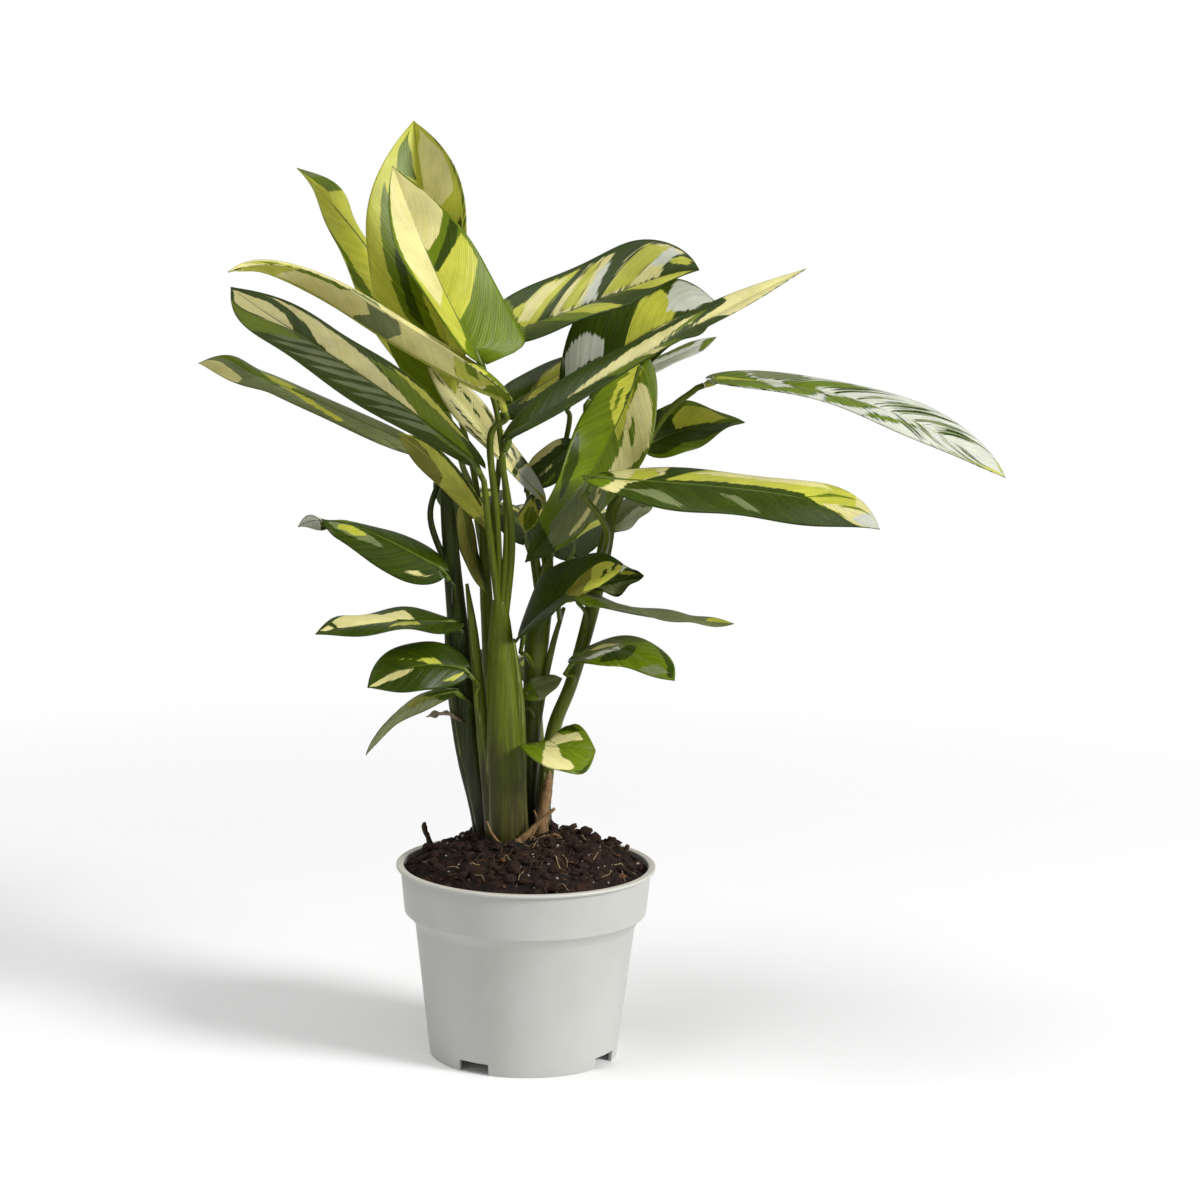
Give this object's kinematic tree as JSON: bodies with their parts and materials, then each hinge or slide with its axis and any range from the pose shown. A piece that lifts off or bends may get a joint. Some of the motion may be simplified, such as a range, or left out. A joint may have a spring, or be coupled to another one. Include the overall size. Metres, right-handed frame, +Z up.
{
  "type": "potted ctenanthe",
  "caption": "Ctenanthe with long pointed leaves striped dark green, lime and cream on thin upright stems, growing from dark peat in a plain grey round grower's pot with a stepped rim.",
  "frame": {"origin": "middle of the pot's foot, on the surface that it stands on", "axes": "+Z up along the pot's axis, -Y towards the side that the picture shows, +X to the right in that view"},
  "size_m": [0.4211, 0.287, 0.4989],
  "materials": {
    "pot_grey": "satin",
    "peat": "matt, crumbly",
    "stem_green": "smooth",
    "leaf_green": "satin",
    "leaf_lime": "satin",
    "leaf_dried": "matt"
  },
  "bodies": {
    "root": {"pot": "pot_grey", "soil": "peat", "shoot_front": "stem_green", "shoot_left": "stem_green", "shoot_middle": "stem_green", "shoot_right": "stem_green", "shoot_back_left": "stem_green", "shoot_back_right": "stem_green", "leaf_back_left": "leaf_green", "leaf_back_low_left": "leaf_green", "leaf_back_low_right": "leaf_green", "leaf_back_middle": "leaf_green", "leaf_back_right": "leaf_green", "leaf_centre_hanging": "leaf_green", "leaf_centre_inner": "leaf_green", "leaf_centre_olive": "leaf_green", "leaf_centre_pale": "leaf_lime", "leaf_centre_young": "leaf_lime", "leaf_crown_back": "leaf_lime", "leaf_crown_front": "leaf_green", "leaf_left_broad": "leaf_green", "leaf_left_inner": "leaf_lime", "leaf_left_long": "leaf_lime", "leaf_left_low": "leaf_green", "leaf_left_upright": "leaf_green", "leaf_low_centre": "leaf_green", "leaf_low_centre_back": "leaf_green", "leaf_low_left_broad": "leaf_green", "leaf_low_left_dried": "leaf_dried", "leaf_low_left_drooping": "leaf_green", "leaf_low_left_oval": "leaf_green", "leaf_low_left_striped": "leaf_green", "leaf_low_right_curled": "leaf_green", "leaf_low_right_pale": "leaf_green", "leaf_low_right_thin": "leaf_green", "leaf_low_round": "leaf_green", "leaf_right_broad": "leaf_lime", "leaf_right_dark": "leaf_green", "leaf_right_far": "leaf_lime", "leaf_right_folded": "leaf_green", "leaf_right_level": "leaf_green", "leaf_right_small": "leaf_green", "leaf_right_tucked": "leaf_green", "leaf_right_under": "leaf_green", "leaf_right_upper": "leaf_green"}
  },
  "joints": []
}
